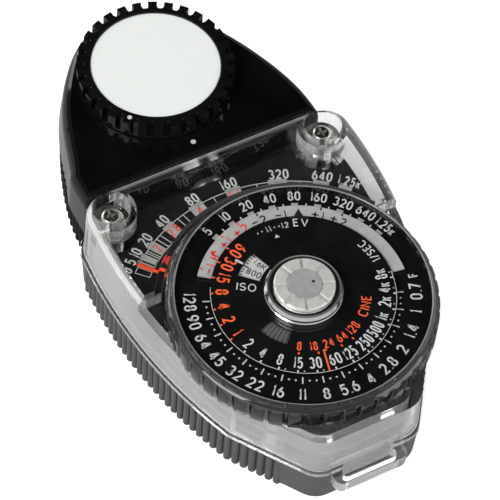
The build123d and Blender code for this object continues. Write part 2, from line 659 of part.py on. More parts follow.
# ------------------------------------------------------------------------ build
save("rear_case", make_rear_case())
save("front_cover", make_front_cover())
save("cover_screws", group([screw((side * SCREW_X, SCREW_Y), WELL_FLOOR_Z + 1.9, 1.9, 1.5, 1.0, 11)
                            + tube((side * SCREW_X, SCREW_Y), 2.6, 0.8, WELL_FLOOR_Z + 0.02,
                                   WELL_FLOOR_Z + 0.45) for side in (-1, 1)]))
save("case_screws", group([screw_up((side * BOSS_X, BOSS_Y), 0.1, 1.9, 0.75, 0.8, 9)
                           for side in (-1, 1)]))
save("scale_plate", make_scale_plate())
save("movement_base", make_movement_base())
save("movement_bridge", make_movement_bridge())
save("bridge_screws", group([screw(polar(DIAL, 10.6, ARM_ANGLE + turn), 14.9, 1.1, 0.65, 0.6, 3)
                             for turn in (0, 180)]))
save("magnet_core", rod(DIAL, CORE_R, 5.4, 10.9))
save("yoke_ring", make_yoke())
save("moving_coil", make_coil())
save("coil_pivots", make_staff())
save("jewel_screws", make_jewel_screws())
save("hairspring", make_hairspring())
save("needle", make_needle())
save("zero_adjust_screw", make_zero_screw())
save("zero_adjust_arm", make_zero_arm())
save("dial_ring", make_dial_ring())
save("aperture_scale", make_aperture_scale())
save("dial_bush", make_dial_bush())
save("film_speed_disc", make_film_disc())
save("shutter_disc", make_shutter_disc())
save("dial_hub", make_hub())
save("dial_collar", make_collar())
save("button_cap", make_cap())
save("button_plunger", make_plunger())
save("return_spring", make_return_spring())
save("needle_brake", make_brake())
save("brake_pin", make_brake_pin())
save("head_front_shell", make_head_front())
save("head_rear_shell", make_head_rear())
save("head_screws", group([screw_up(site, HEAD_Z0 + 0.35, 1.9, 1.2, 0.8, 9)
                           for site in HEAD_SCREWS]))
save("swivel_neck", make_neck())
save("swivel_clip", make_clip())
save("swivel_bush", make_bush())
save("diffuser_mount", make_diffuser_mount())
save("cell_tray", make_cell_tray())
save("photocell", make_photocell())
save("cell_contacts", make_contacts())
save("head_leads", make_head_leads())
save("case_leads", make_case_leads())
save("diffuser_ring", make_diffuser_ring())
save("diffuser_disc", make_diffuser_disc())
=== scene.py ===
"""Looks of the handheld light meter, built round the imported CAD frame.

Plan positions in the helpers are millimetres from the dial axis, and angles are degrees
from +X, anticlockwise seen from above. Blender itself is given metres.
"""

import math

import bmesh
import bpy
from mathutils import Matrix, Vector


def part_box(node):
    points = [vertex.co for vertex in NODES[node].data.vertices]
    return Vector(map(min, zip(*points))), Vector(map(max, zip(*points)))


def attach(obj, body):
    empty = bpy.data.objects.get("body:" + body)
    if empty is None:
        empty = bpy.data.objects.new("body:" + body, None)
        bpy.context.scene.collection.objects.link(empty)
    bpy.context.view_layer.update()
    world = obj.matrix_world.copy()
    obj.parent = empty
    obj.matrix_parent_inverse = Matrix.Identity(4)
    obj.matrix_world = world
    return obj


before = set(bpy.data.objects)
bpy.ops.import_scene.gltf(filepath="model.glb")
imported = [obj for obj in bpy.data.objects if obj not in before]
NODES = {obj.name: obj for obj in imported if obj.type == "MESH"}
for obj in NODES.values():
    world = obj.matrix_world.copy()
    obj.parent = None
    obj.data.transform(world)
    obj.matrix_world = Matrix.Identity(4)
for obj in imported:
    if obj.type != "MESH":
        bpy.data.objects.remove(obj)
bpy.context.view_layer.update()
MM = 0.001

# Places shared by the finishes and the prints, in mm.
DIAL_Y = -25.2              # axis of the dials
REAR_WALL_Y = 6.0           # past this line the cover's wall faces the head
COARSE_EDGE_Y = -40.0       # below this line the scale plate is coarse

BAND_SPAN = 30.0            # radius that a banded disc's colours are spread over
SHADED_RING = (8.0, 14.0)   # part of the index disc given painted shade, where the dial's shade falls
FACES_HEAD = 0.8            # share of a wall's normal along Y from which it faces the head


# --------------------------------------------------------------------- finishes
class Finish:
    """One node-based material under construction."""

    def __init__(self, name):
        self.material = bpy.data.materials.new(name)
        self.material.use_nodes = True
        self.tree = self.material.node_tree
        self.tree.nodes.clear()
        self.out = self.add("ShaderNodeOutputMaterial")
        self.place = self.add("ShaderNodeTexCoord").outputs["Object"]

    def add(self, kind, **settings):
        node = self.tree.nodes.new(kind)
        for key, value in settings.items():
            setattr(node, key, value)
        return node

    def link(self, source, target):
        self.tree.links.new(source, target)

    def noise(self, scale, detail=3.0, stretch=None):
        node = self.add("ShaderNodeTexNoise")
        node.inputs["Scale"].default_value = scale
        node.inputs["Detail"].default_value = detail
        if stretch:
            mapping = self.add("ShaderNodeMapping")
            mapping.inputs["Scale"].default_value = stretch
            self.link(self.place, mapping.inputs["Vector"])
            self.link(mapping.outputs["Vector"], node.inputs["Vector"])
        else:
            self.link(self.place, node.inputs["Vector"])
        return node.outputs["Fac"]

    def ramp(self, source, stops, sharp=False):
        node = self.add("ShaderNodeValToRGB")
        if sharp:
            node.color_ramp.interpolation = "CONSTANT"
        marks = node.color_ramp.elements
        while len(marks) < len(stops):
            marks.new(0.5)
        for mark, (at, colour) in zip(marks, stops):
            mark.position = at
            mark.color = (*colour, 1.0)
        self.link(source, node.inputs["Fac"])
        return node.outputs["Color"]

    def mottle(self, source, low, high):
        return self.ramp(source, [(0.3, low), (0.7, high)])

    def spread(self, source, low, high):
        node = self.add("ShaderNodeMapRange")
        node.inputs["From Min"].default_value = 0.3
        node.inputs["From Max"].default_value = 0.7
        node.inputs["To Min"].default_value = low
        node.inputs["To Max"].default_value = high
        self.link(source, node.inputs["Value"])
        return node.outputs["Result"]

    def bump(self, source, strength, depth, below=None):
        node = self.add("ShaderNodeBump")
        node.inputs["Strength"].default_value = strength
        node.inputs["Distance"].default_value = depth
        self.link(source, node.inputs["Height"])
        if below:
            self.link(below, node.inputs["Normal"])
        return node.outputs["Normal"]

    def radius(self):
        """Distance from the dial axis, in the plan."""
        shift = self.add("ShaderNodeVectorMath", operation="SUBTRACT")
        shift.inputs[1].default_value = (0.0, DIAL_Y * MM, 0.0)
        flat = self.add("ShaderNodeVectorMath", operation="MULTIPLY")
        flat.inputs[1].default_value = (1.0, 1.0, 0.0)
        size = self.add("ShaderNodeVectorMath", operation="LENGTH")
        self.link(self.place, shift.inputs[0])
        self.link(shift.outputs[0], flat.inputs[0])
        self.link(flat.outputs[0], size.inputs[0])
        return size.outputs["Value"]

    def step(self, value, edge, rising=True):
        node = self.add("ShaderNodeMath", operation="GREATER_THAN" if rising else "LESS_THAN")
        node.inputs[1].default_value = edge
        self.link(value, node.inputs[0])
        return node.outputs[0]

    def both(self, first, second):
        node = self.add("ShaderNodeMath", operation="MULTIPLY")
        self.link(first, node.inputs[0])
        self.link(second, node.inputs[1])
        return node.outputs[0]

    def along_y(self):
        split = self.add("ShaderNodeSeparateXYZ")
        self.link(self.place, split.inputs[0])
        return split.outputs["Y"]

    def near_side(self, r_in, r_out):
        """One inside the ring r_in to r_out on the side of the dial axis nearest the lug."""
        below = self.step(self.along_y(), (DIAL_Y - 1.0) * MM, rising=False)
        inside = self.both(self.step(self.radius(), r_in * MM),
                           self.step(self.radius(), r_out * MM, rising=False))
        return self.both(below, inside)

    def shader(self, **sockets):
        node = self.add("ShaderNodeBsdfPrincipled")
        for key, value in sockets.items():
            node.inputs[key.replace("_", " ")].default_value = value
        return node


def tinted(colour, factor):
    return tuple(min(1.0, c * factor) for c in colour)


def solid(name, colour, rough, tint=0.12, blotch=350.0, rough_spread=0.06,
          grain=(3500.0, 0.12, 0.00002), **sockets):
    """Opaque finish: mottled colour and gloss over a fine surface grain."""
    f = Finish(name)
    p = f.shader(**sockets)
    cloud = f.noise(blotch)
    f.link(f.ramp(cloud, [(0.35, tinted(colour, 1 - tint)), (0.65, tinted(colour, 1 + tint))]),
           p.inputs["Base Color"])
    f.link(f.spread(f.noise(blotch * 2.3, 5.0), rough - rough_spread, rough + rough_spread),
           p.inputs["Roughness"])
    f.link(f.bump(f.noise(grain[0], 2.0), grain[1], grain[2]), p.inputs["Normal"])
    f.link(p.outputs["BSDF"], f.out.inputs["Surface"])
    return f.material


def clear(name, colour, rough, shade, waves=0.003, haze_and_highlight=None, **sockets):
    """Clear moulded plastic that lets light through to what is under it."""
    f = Finish(name)
    p = f.shader(IOR=1.49, Transmission_Weight=1.0, **sockets)
    cloud = f.noise(120.0, 2.0)
    f.link(f.ramp(cloud, [(0.35, tinted(colour, 0.985)), (0.65, colour)]), p.inputs["Base Color"])
    f.link(f.spread(f.noise(400.0, 2.0), rough * 0.7, rough * 1.3), p.inputs["Roughness"])
    f.link(f.bump(f.noise(90.0, 1.0), waves, 0.00002), p.inputs["Normal"])
    see = f.add("ShaderNodeBsdfTransparent")
    see.inputs["Color"].default_value = (*shade, 1.0)
    path = f.add("ShaderNodeLightPath")
    mix = f.add("ShaderNodeMixShader")
    f.link(path.outputs["Is Shadow Ray"], mix.inputs["Fac"])
    f.link(p.outputs["BSDF"], mix.inputs[1])
    f.link(see.outputs["BSDF"], mix.inputs[2])
    surface = mix.outputs["Shader"]
    if haze_and_highlight:
        surface = with_haze_and_highlight(f, surface, haze_and_highlight)
    f.link(surface, f.out.inputs["Surface"])
    return f.material


def with_haze_and_highlight(f, surface, haze_and_highlight):
    """Milky share mixed into a clear surface; haze is (upright share of the normal, amount).

    Moulded edges and walls get this pale share. It is partly a milky look of the plastic and
    partly painted highlight, standing in for the bright edges that light gives clear plastic;
    flat faces stay clear. The wall that faces the head stays clear too, so the black head
    shows through it.
    """
    split = f.add("ShaderNodeSeparateXYZ")
    f.link(f.add("ShaderNodeNewGeometry").outputs["True Normal"], split.inputs[0])
    slope = f.add("ShaderNodeMath", operation="ABSOLUTE")
    f.link(split.outputs["Z"], slope.inputs[0])
    amount = f.ramp(slope.outputs[0], [(s, (h, h, h)) for s, h in haze_and_highlight])
    facing = f.add("ShaderNodeMath", operation="ABSOLUTE")
    f.link(split.outputs["Y"], facing.inputs[0])
    rear = f.both(f.step(f.along_y(), REAR_WALL_Y * MM), f.step(facing.outputs[0], FACES_HEAD))
    keep = f.add("ShaderNodeMath", operation="SUBTRACT")
    keep.inputs[0].default_value = 1.0
    f.link(rear, keep.inputs[1])
    amount = f.both(amount, keep.outputs[0])
    # pale milky shader: partly milky plastic, partly painted highlight on edges and walls
    milk_and_highlight = f.shader(Roughness=0.25, Transmission_Weight=0.35, IOR=1.49)
    f.link(f.mottle(f.noise(200.0), (0.84, 0.85, 0.83), (0.95, 0.96, 0.94)),
           milk_and_highlight.inputs["Base Color"])
    blend = f.add("ShaderNodeMixShader")
    f.link(amount, blend.inputs["Fac"])
    f.link(surface, blend.inputs[1])
    f.link(milk_and_highlight.outputs["BSDF"], blend.inputs[2])
    return blend.outputs["Shader"]


def banded(name, bands, rough, metal, sparkle=0.1, shade_below=1.0):
    """Thin disc whose colour changes with the radius; bands are (radius mm, colour).

    The inner part on the near side of the axis gets painted shade: its colour is darkened by
    shade_below.
    """
    f = Finish(name)
    p = f.shader(Metallic=metal, Specular_IOR_Level=0.3)
    scale = f.add("ShaderNodeMath", operation="DIVIDE")
    scale.inputs[1].default_value = BAND_SPAN * MM
    f.link(f.radius(), scale.inputs[0])
    tone = f.ramp(scale.outputs[0], [(r / BAND_SPAN, c) for r, c in bands], sharp=True)
    mix = f.add("ShaderNodeMix", data_type="RGBA", blend_type="MULTIPLY")
    mix.inputs["Factor"].default_value = 1.0
    f.link(tone, mix.inputs["A"])
    f.link(f.mottle(f.noise(700.0, 4.0), (0.82, 0.82, 0.82), (1.0, 1.0, 1.0)), mix.inputs["B"])
    tone = mix.outputs["Result"]
    if shade_below < 1.0:
        near = f.near_side(*SHADED_RING)
        painted_shade = f.add("ShaderNodeMix", data_type="RGBA", blend_type="MULTIPLY")
        painted_shade.inputs["B"].default_value = (shade_below, shade_below, shade_below, 1.0)
        f.link(near, painted_shade.inputs["Factor"])
        f.link(tone, painted_shade.inputs["A"])
        tone = painted_shade.outputs["Result"]
    f.link(tone, p.inputs["Base Color"])
    f.link(f.spread(f.noise(900.0), rough - 0.05, rough + 0.08), p.inputs["Roughness"])
    f.link(f.bump(f.noise(5000.0), sparkle, 0.00002), p.inputs["Normal"])
    f.link(p.outputs["BSDF"], f.out.inputs["Surface"])
    return f.material


def zoned(name, upper, lower, edge_y, rough):
    """Black plate that turns into a coarse dark grey texture below edge_y."""
    f = Finish(name)
    p = f.shader(Specular_IOR_Level=0.2)
    low = f.step(f.along_y(), edge_y * MM, rising=False)
    mix = f.add("ShaderNodeMix", data_type="RGBA")
    f.link(low, mix.inputs["Factor"])
    f.link(f.mottle(f.noise(350.0), tinted(upper, 0.8), tinted(upper, 1.2)), mix.inputs["A"])
    f.link(f.mottle(f.noise(1400.0, 2.0), tinted(lower, 0.6), tinted(lower, 1.5)),
           mix.inputs["B"])
    f.link(mix.outputs["Result"], p.inputs["Base Color"])
    f.link(f.spread(f.noise(800.0), rough - 0.05, rough + 0.1), p.inputs["Roughness"])
    f.link(f.bump(f.noise(1600.0), 0.3, 0.00003), p.inputs["Normal"])
    f.link(p.outputs["BSDF"], f.out.inputs["Surface"])
    return f.material


def brushed(name, colour, rough):
    """Turned or brushed metal with fine lines along X."""
    f = Finish(name)
    p = f.shader(Metallic=1.0)
    f.link(f.mottle(f.noise(500.0, 3.0), tinted(colour, 0.9), colour), p.inputs["Base Color"])
    lines = f.noise(900.0, 4.0, stretch=(1.0, 9.0, 9.0))
    f.link(f.spread(lines, rough - 0.08, rough + 0.08), p.inputs["Roughness"])
    f.link(f.bump(lines, 0.15, 0.00001), p.inputs["Normal"])
    f.link(p.outputs["BSDF"], f.out.inputs["Surface"])
    return f.material


GREY_PRINT = (0.42, 0.42, 0.41)
SILVER = (0.62, 0.62, 0.60)
INK = (0.006, 0.006, 0.0065)

FINISHES = {
    "case_grey": solid("case_grey", (0.072, 0.073, 0.070), 0.36, tint=0.06,
                       grain=(2600.0, 0.25, 0.00003)),
    # the haze on the cover's walls and edges is partly painted highlight, a pale milky share on
    # its sides
    "clear_acrylic": clear("clear_acrylic", (0.985, 0.99, 0.985), 0.02, (0.86, 0.87, 0.86),
                           haze_and_highlight=[(0.0, 0.27), (0.15, 0.32), (0.4, 0.72), (0.93, 0.66),
                                 (0.985, 0.0)]),
    # the haze at the dial ring's bevel and on the flat top of its lip is painted highlight, a pale
    # line round the rim
    "clear_knurl": clear("clear_knurl", (0.05, 0.05, 0.052), 0.06, (0.3, 0.3, 0.3),
                         haze_and_highlight=[(0.0, 0.0), (0.64, 0.0), (0.67, 0.6), (0.74, 0.6), (0.77, 0.0),
                               (0.97, 0.0), (0.985, 0.4)]),
    "bright_steel": brushed("bright_steel", (0.62, 0.61, 0.58), 0.22),
    "black_steel": solid("black_steel", (0.02, 0.02, 0.02), 0.3, Metallic=0.6),
    "scale_black": zoned("scale_black", INK, (0.075, 0.075, 0.07),
                         COARSE_EDGE_Y, 0.45),
    "aluminium_frame": brushed("aluminium_frame", (0.5, 0.5, 0.5), 0.35),
    "magnet": solid("magnet", (0.09, 0.09, 0.1), 0.4, Metallic=0.8),
    "soft_iron": brushed("soft_iron", (0.28, 0.28, 0.3), 0.4),
    "copper_coil": brushed("copper_coil", (0.62, 0.28, 0.14), 0.4),
    "brass_parts": brushed("brass_parts", (0.24, 0.19, 0.11), 0.4),
    "bronze_spring": brushed("bronze_spring", (0.5, 0.33, 0.18), 0.3),
    "needle_red": solid("needle_red", (0.95, 0.07, 0.01), 0.5, tint=0.05),
    "dial_black": solid("dial_black", INK, 0.16, tint=0.25, blotch=180.0, rough_spread=0.05,
                        grain=(5000.0, 0.03, 0.00001), Specular_IOR_Level=0.5),
    # painted shade: the near side of the index disc is darkened where the dial shades it
    "index_disc": banded("index_disc", [(0.0, SILVER), (14.1, INK), (17.1, GREY_PRINT)], 0.42, 0.0,
                         shade_below=0.2),
    "chrome": brushed("chrome", (0.82, 0.82, 0.83), 0.09),
    "satin_silver": banded("satin_silver", [(0.0, (0.48, 0.49, 0.49)), (3.3, (0.72, 0.72, 0.69))],
                           0.42, 0.35, sparkle=0.35),
    "spring_steel": brushed("spring_steel", (0.45, 0.45, 0.47), 0.3),
    "brake_plastic": solid("brake_plastic", (0.6, 0.59, 0.55), 0.5),
    "gloss_black": solid("gloss_black", (0.003, 0.003, 0.0031), 0.06, tint=0.3, blotch=90.0,
                         rough_spread=0.02, grain=(1800.0, 0.02, 0.00001),
                         Specular_IOR_Level=0.38),
    "ring_black": solid("ring_black", (0.005, 0.005, 0.005), 0.13, tint=0.2,
                        grain=(2500.0, 0.08, 0.00002)),
    "black_nylon": solid("black_nylon", (0.012, 0.012, 0.012), 0.5),
    "cell_violet": solid("cell_violet", (0.05, 0.02, 0.07), 0.15),
    "lead_red": solid("lead_red", (0.45, 0.03, 0.02), 0.45),
    "opal_white": solid("opal_white", (0.84, 0.85, 0.825), 0.5, tint=0.008, blotch=60.0,
                        grain=(1500.0, 0.04, 0.00001), Subsurface_Weight=0.15,
                        Subsurface_Scale=0.002),
}


HEAD_GREY = solid("head_grey", (0.008, 0.008, 0.008), 0.6, tint=0.1,
                  grain=(2600.0, 0.2, 0.00003), Specular_IOR_Level=0.12)


def paint(name, colour):
    return solid(name, colour, 0.5, tint=0.05, blotch=1500.0, grain=(6000.0, 0.1, 0.000005))


PAINTS = {
    "white": paint("print_white", (0.56, 0.57, 0.55)),
    "orange": paint("print_orange", (0.90, 0.12, 0.03)),
    "red": paint("print_red", (0.72, 0.03, 0.02)),
    "black": paint("print_black", (0.008, 0.008, 0.008)),
    "grey": paint("print_grey", (0.36, 0.36, 0.35)),
}

for node_name, node in NODES.items():
    slots = node.data.materials
    for k in range(len(slots)):
        key = slots[k].name.split(".")[0]
        if key in FINISHES:
            slots[k] = FINISHES[key]
        else:
            raise SystemExit(f"{node_name} has an unknown finish {slots[k].name}")


NODES["head_rear_shell"].data.materials[0] = HEAD_GREY


WELD_GAP = 0.002                # mm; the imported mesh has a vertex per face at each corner
BEVEL_ANGLE, CREASE_ANGLE = 40.0, 28.0
WORN_EDGES = {"diffuser_ring": 0.14, "button_cap": 0.06, "dial_ring": 0.1}


def soften(node_name, width):
    """Small worn bevel on the hard edges of a CAD piece."""
    piece = NODES[node_name]
    piece.modifiers.new("weld", "WELD").merge_threshold = WELD_GAP * MM
    bevel = piece.modifiers.new("edge wear", "BEVEL")
    bevel.width = width * MM
    bevel.segments = 2
    bevel.limit_method = "ANGLE"
    bevel.angle_limit = math.radians(BEVEL_ANGLE)
    piece.modifiers.new("creases", "EDGE_SPLIT").split_angle = math.radians(CREASE_ANGLE)


for piece_name, edge in WORN_EDGES.items():
    soften(piece_name, edge)


# ----------------------------------------------------------------- printed marks
def arc(cx, cy, rx, ry, a0, a1, steps=12):
    points = []
    for k in range(steps + 1):
        a = math.radians(a0 + (a1 - a0) * k / steps)
        points.append((cx + rx * math.cos(a), cy + ry * math.sin(a)))
    return points


# Strokes of each sign in a unit box, and the sign's width as a share of a full digit.
SIGNS = {
    "0": (1, [arc(.5, .68, .5, .32, 0, 180) + arc(.5, .32, .5, .32, 180, 360) + [(1, .68)]]),
    "1": (.34, [[(0, .84), (1, 1), (1, 0)]]),
    "2": (1, [arc(.5, .71, .5, .29, 160, -28) + [(0, 0), (1.02, 0)]]),
    "3": (1, [arc(.47, .75, .45, .25, 150, -85), arc(.47, .26, .53, .26, 85, -150)]),
    "4": (1.04, [[(.76, 0), (.76, 1)], [(.72, 1), (0, .27)], [(0, .25), (1.04, .25)]]),
    "5": (1, [[(.93, 1), (.16, 1), (.07, .53)] + arc(.46, .32, .54, .32, 125, -150)]),
    "6": (1, [arc(.5, .3, .5, .3, 0, 360), [(.03, .4), (.16, .66), (.66, 1)]]),
    "7": (1, [[(0, 1), (1, 1), (.3, 0)]]),
    "8": (1, [arc(.5, .76, .43, .24, 0, 360), arc(.5, .26, .5, .26, 0, 360)]),
    "9": (1, [arc(.5, .7, .5, .3, 0, 360), [(.97, .6), (.84, .34), (.34, 0)]]),
    "K": (1.15, [[(0, 0), (0, 1)], [(1, 1), (.1, .42)], [(.42, .62), (1, 0)]]),
    "F": (.8, [[(1, 1), (0, 1), (0, 0)], [(0, .52), (.85, .52)]]),
    "E": (.8, [[(1, 1), (0, 1), (0, 0), (1, 0)], [(0, .52), (.85, .52)]]),
    "C": (1, [arc(.6, .68, .6, .32, 42, 180) + arc(.6, .32, .6, .32, 180, 318)]),
    "I": (.02, [[(.5, 0), (.5, 1)]]),
    "N": (1, [[(0, 0), (0, 1), (1, 0), (1, 1)]]),
    "S": (.9, [arc(.5, .74, .46, .26, 30, 235) + arc(.5, .26, .5, .26, 60, -150)]),
    "O": (1.15, [arc(.5, .5, .5, .5, 0, 360, 20)]),
    "V": (1.1, [[(0, 1), (.5, 0), (1, 1)]]),
    "H": (.9, [[(0, 0), (0, 1)], [(1, 0), (1, 1)], [(0, .52), (1, .52)]]),
    "/": (.7, [[(0, -.05), (1, 1.05)]]),
    "+": (1.4, [[(0, .5), (1, .5)], [(.5, .12), (.5, .88)]]),
    "-": (1.2, [[(0, .5), (1, .5)]]),
    ".": (.01, [[(.5, -.02), (.5, .06)]]),
    " ": (.5, []),
}


INK_LIFT = 0.005                # mm between a surface and the ink on it
SMALL_SIGN, SMALL_STROKE = 0.72, 0.85
POINT_GAP = 0.6                 # share of the usual gap after a decimal point
MITRE_LIMIT = 0.55
SAME_POINT, CLOSED_GAP = 1e-4, 1e-3


def polar(r, angle):
    a = math.radians(angle)
    return Vector((r * math.cos(a), r * math.sin(a)))


class Print:
    """Flat printed marks on one piece, gathered into a single thin mesh."""

    def __init__(self, z, x=0.0, y=DIAL_Y, thick=0.02):
        self.mesh = bmesh.new()
        self.z, self.x, self.y, self.thick = z, x, y, thick
        self.inks = []

    def face(self, points, ink):
        if ink not in self.inks:
            self.inks.append(ink)
        verts = [self.mesh.verts.new(((self.x + p[0]) * MM, (self.y + p[1]) * MM, self.z * MM))
                 for p in points]
        face = self.mesh.faces.new(verts)
        face.material_index = self.inks.index(ink)
        if face.normal.z < 0 or self.turned(points):
            face.normal_flip()

    @staticmethod
    def turned(points):
        area = sum(a[0] * b[1] - b[0] * a[1] for a, b in zip(points, points[1:] + points[:1]))
        return area < 0

    def ribbon(self, points, width, ink):
        """A stroke of even width with mitred joints; closed if its ends meet."""
        pts = [Vector(p) for p in points]
        pts = [p for k, p in enumerate(pts) if k == 0 or (p - pts[k - 1]).length > SAME_POINT]
        closed = (pts[0] - pts[-1]).length < CLOSED_GAP and len(pts) > 3
        if closed:
            pts.pop()
        sides = []
        for k, p in enumerate(pts):
            before = pts[k - 1] if closed or k > 0 else None
            after = pts[(k + 1) % len(pts)] if closed or k < len(pts) - 1 else None
            d0 = (p - before).normalized() if before is not None else None
            d1 = (after - p).normalized() if after is not None else None
            along = ((d0 or d1) + (d1 or d0)).normalized() if (d0 or d1) else Vector((1, 0))
            across = Vector((-along.y, along.x))
            ref = Vector((-(d1 or d0).y, (d1 or d0).x))
            stretch = 1 / max(MITRE_LIMIT, across.dot(ref))
            sides.append((p + across * width * 0.5 * stretch, p - across * width * 0.5 * stretch))
        count = len(sides) if closed else len(sides) - 1
        for k in range(count):
            a, b = sides[k], sides[(k + 1) % len(sides)]
            self.face([a[1], b[1], b[0], a[0]], ink)

    def sign(self, char, origin, right, up, height, width, stroke, ink):
        """One sign with its lower left corner at origin."""
        share, strokes = SIGNS[char]
        w = max(0.0, width * share - (stroke if share > 0.05 else 0.0))
        h = height - stroke
        for line in strokes:
            pts = [origin + right * (stroke / 2 + x * w) + up * (stroke / 2 + y * h)
                   for x, y in line]
            self.ribbon(pts, stroke, ink)

    def advance(self, char, width, stroke, gap):
        share = SIGNS[char][0]
        return max(width * share, stroke) + (gap * POINT_GAP if char == "." else gap)

    def text(self, words, r, angle, height, ink="white", wide=0.6, stroke=0.165,
             face_in=True, along=False, gap=0.16, small=""):
        """Signs round the dial (or along a radius towards the centre) about (r, angle)."""
        weight = stroke * height
        sizes = [SMALL_SIGN if c in small else 1.0 for c in words]
        steps = [self.advance(c, height * wide * s, weight, height * gap)
                 for c, s in zip(words, sizes)]
        start = -(sum(steps) - height * gap) / 2
        for char, step, size in zip(words, steps, sizes):
            middle = start + (step - height * gap) / 2
            h = height * size
            if along:
                right = -polar(1, angle)
                up = Vector((-right.y, right.x))
                centre = polar(r, angle) + right * middle
            else:
                turn = math.degrees(middle / r) * (1 if face_in else -1)
                out = polar(1, angle + turn)
                up = -out if face_in else out
                right = Vector((up.y, -up.x))
                centre = polar(r, angle + turn)
            corner = centre - right * (step - height * gap) / 2 - up * height / 2
            self.sign(char, corner, right, up, h, height * wide * size,
                      weight * (SMALL_STROKE if size < 1 else 1.0), ink)
            start += step

    def tick(self, r0, r1, angle, width, ink="white"):
        self.ribbon([polar(r0, angle), polar(r1, angle)], width, ink)

    def dot(self, r, angle, size, ink="white", sides=14):
        centre = polar(r, angle)
        self.face([centre + polar(size / 2, 360 * k / sides) for k in range(sides)], ink)

    def band(self, r0, r1, a0, a1, ink):
        steps = max(1, int(abs(a1 - a0) / 2))
        for k in range(steps):
            b0 = a0 + (a1 - a0) * k / steps
            b1 = a0 + (a1 - a0) * (k + 1) / steps
            self.face([polar(r0, b0), polar(r1, b0), polar(r1, b1), polar(r0, b1)], ink)

    def poly(self, points, ink):
        self.face([polar(r, a) for r, a in points], ink)

    def finish(self, name, body):
        data = bpy.data.meshes.new(name)
        self.mesh.to_mesh(data)
        self.mesh.free()
        piece = bpy.data.objects.new(name, data)
        bpy.context.scene.collection.objects.link(piece)
        for ink in self.inks:
            data.materials.append(PAINTS[ink])
        body_of = piece.modifiers.new("ink", "SOLIDIFY")
        body_of.thickness = self.thick * MM
        body_of.offset = 1.0
        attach(piece, body)
        return piece


def top_of(node):
    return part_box(node)[1].z / MM


STEP = 12.0                       # one full exposure step round the dials
F_ZERO, FC_ZERO, T_ZERO = -118.3, 66.4, 178.5


def print_outer_dial():
    p = Print(top_of("aperture_scale") + INK_LIFT)
    stops = ["128", "90", "64", "45", "32", "22", "16", "11", "8", "5.6", "4", "2.8", "2", "1.4",
             "1", "0.7"]
    number_r, tick_in, tick_out, dot_r, dot_size = 21.3, 17.55, 18.95, 18.3, 0.38
    for k, word in enumerate(stops):
        angle = F_ZERO + STEP * (k - 7)
        p.text(word, number_r, angle, 2.4, wide=0.56, stroke=0.145)
        p.tick(tick_in, tick_out, angle, 0.26)
        if k < len(stops) - 1:
            p.dot(dot_r, angle + STEP / 3, dot_size)
            p.dot(dot_r, angle + STEP * 2 / 3, dot_size)
    p.text("F", 21.5, -12.6, 1.9, wide=0.62)
    candles = ["5", "10", "20", "40", "80", "160", "320", "640", "1.25K"]
    for k, word in enumerate(candles):
        angle = FC_ZERO - STEP * (k - 4)
        p.text(word, 22.95, angle, 2.1, wide=0.45 if len(word) > 3 else 0.53, stroke=0.145,
               face_in=False, small="K", gap=0.12)
        p.band(19.6, 21.3, angle - 1.8, angle + 1.8, "grey")
        if k < len(candles) - 1:
            p.tick(19.8, 21.2, angle - STEP / 2, 0.26)
    return p.finish("outer_dial_print", "outer_dial")


def print_shutter_dial():
    p = Print(top_of("shutter_disc") + INK_LIFT)
    slow = [("60", 116.0), ("30", 129.2), ("15", 141.7), ("8", 153.3), ("4", 165.0), ("2", 176.8),
            ("1", -171.0)]
    fast = [("2", -159.6), ("4", -147.4), ("8", -134.5), ("15", -121.6), ("30", -109.8),
            ("60", -95.6), ("125", -83.8), ("250", -70.0), ("500", -56.6), ("1K", -44.6),
            ("2K", -32.4), ("4K", -20.8), ("8K", -9.4)]
    number_r, tick_in, tick_out, rim_r = 15.25, 16.85, 17.42, 17.44
    for word, angle in slow:
        p.text(word, number_r, angle, 2.5, ink="orange", wide=0.50, stroke=0.15)
    for word, angle in fast:
        p.text(word, number_r, angle, 2.45, wide=0.365 if len(word) > 2 else 0.43, stroke=0.13,
               small="K", gap=0.10)
    for k in range(len(slow) + len(fast)):
        angle = T_ZERO + STEP * (k - 5)
        if k == len(slow) + 5:
            continue
        p.tick(tick_in, tick_out, angle, 0.3, "orange" if k < len(slow) else "white")
        if k >= len(slow) + 2:
            p.dot(17.0, angle + STEP / 3, 0.26)
    p.tick(tick_in, tick_out, T_ZERO + STEP * len(slow), 0.3)
    rim = [polar(rim_r, a) for a in range(150, 352, 3)]
    p.ribbon(rim, 0.10, "white")
    for word, angle in [("8", -122.0), ("18", -108.6), ("24", -94.8), ("64", -80.7),
                        ("128", -66.1)]:
        p.text(word, 11.65, angle, 1.9, ink="orange", wide=0.47, stroke=0.14, gap=0.13)
    p.text("CINE", 11.75, -39.5, 1.95, ink="orange", wide=0.62, stroke=0.14)
    for angle in (-121.9, -105.9, -85.7, -74.1):
        p.tick(12.95, 13.45, angle, 0.3, "orange")
    p.ribbon([polar(12.95, -98.6), polar(12.85, -101.2), polar(17.45, -102.0)], 0.32, "orange")
    p.text("1/SEC", 16.0, 10.9, 1.75, wide=0.62, stroke=0.13)
    p.text("EV", 16.0, 63.9, 1.8, wide=0.72, stroke=0.14, face_in=False, gap=0.25)
    p.poly([(14.05, 83.8), (13.3, 85.8), (13.3, 81.8)], "white")
    p.text("ISO", 10.75, 147.0, 1.75, wide=0.78, stroke=0.13, along=True, gap=0.2)
    p.tick(12.95, 14.6, 123.6, 0.45)
    p.poly([(17.5, 72.5), (16.9, 70.6), (16.9, 60.4), (17.5, 57.5)], "black")
    return p.finish("shutter_dial_print", "shutter_dial")


